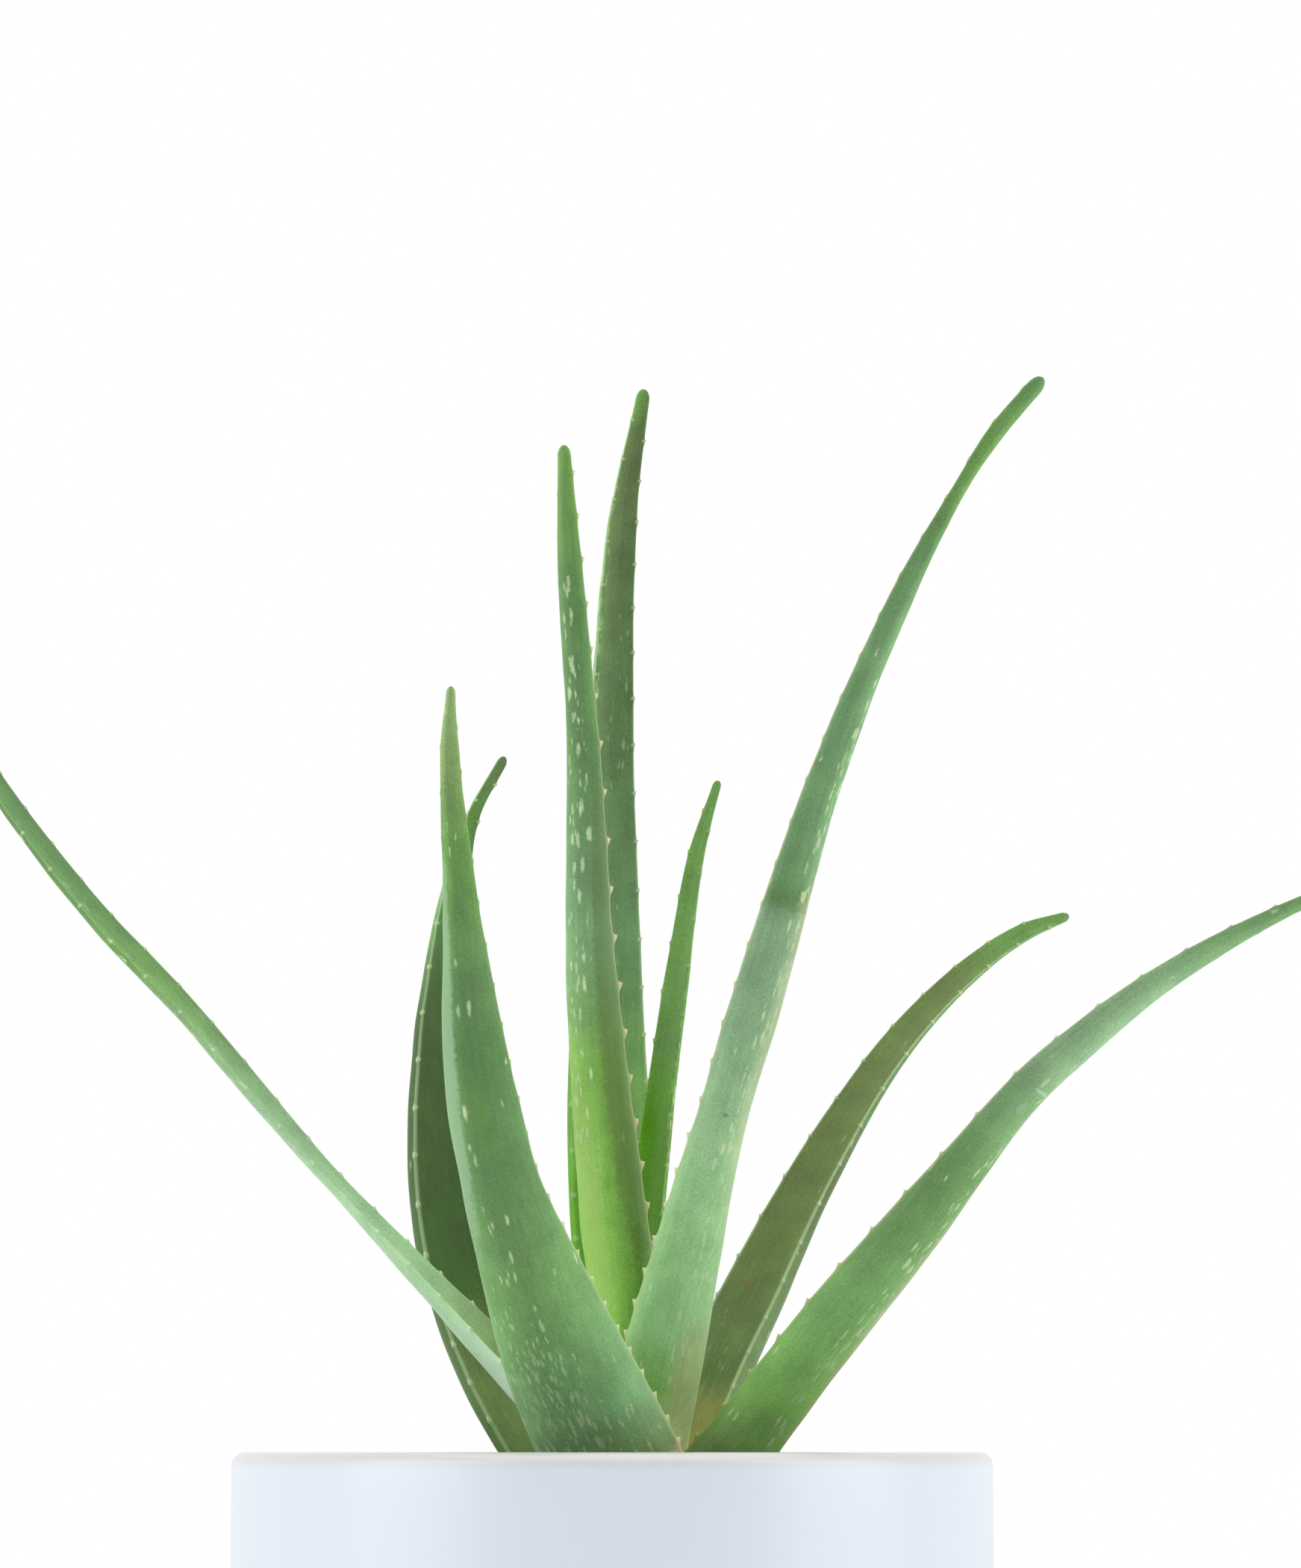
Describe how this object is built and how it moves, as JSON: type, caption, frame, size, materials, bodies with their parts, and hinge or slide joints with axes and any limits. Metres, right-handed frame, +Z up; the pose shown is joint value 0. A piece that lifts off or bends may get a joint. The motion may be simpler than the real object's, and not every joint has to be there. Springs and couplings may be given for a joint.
{
  "type": "potted aloe plant",
  "caption": "Aloe plant with a rosette of long, fleshy, toothed leaves, rooted in potting soil in a plain white glazed cylinder pot.",
  "frame": {"origin": "centre of the pot's flat underside", "axes": "+Z up along the pot's axis; the plant is seen from the front by a viewer who looks along +Y, with +X to the right"},
  "size_m": [0.3164, 0.1677, 0.3952],
  "materials": {
    "glaze": "gloss",
    "soil": "matte",
    "stem": "matte",
    "leaf": "satin"
  },
  "bodies": {
    "root": {"pot": "glaze", "soil": "soil", "stem": "stem", "leaf_centre_front": "leaf", "leaf_centre_rear": "leaf", "leaf_young": "leaf", "leaf_left_low": "leaf", "leaf_right_tall": "leaf", "leaf_right_rear": "leaf", "leaf_left_rear": "leaf", "leaf_right_low": "leaf", "leaf_front_broad": "leaf"}
  },
  "joints": []
}
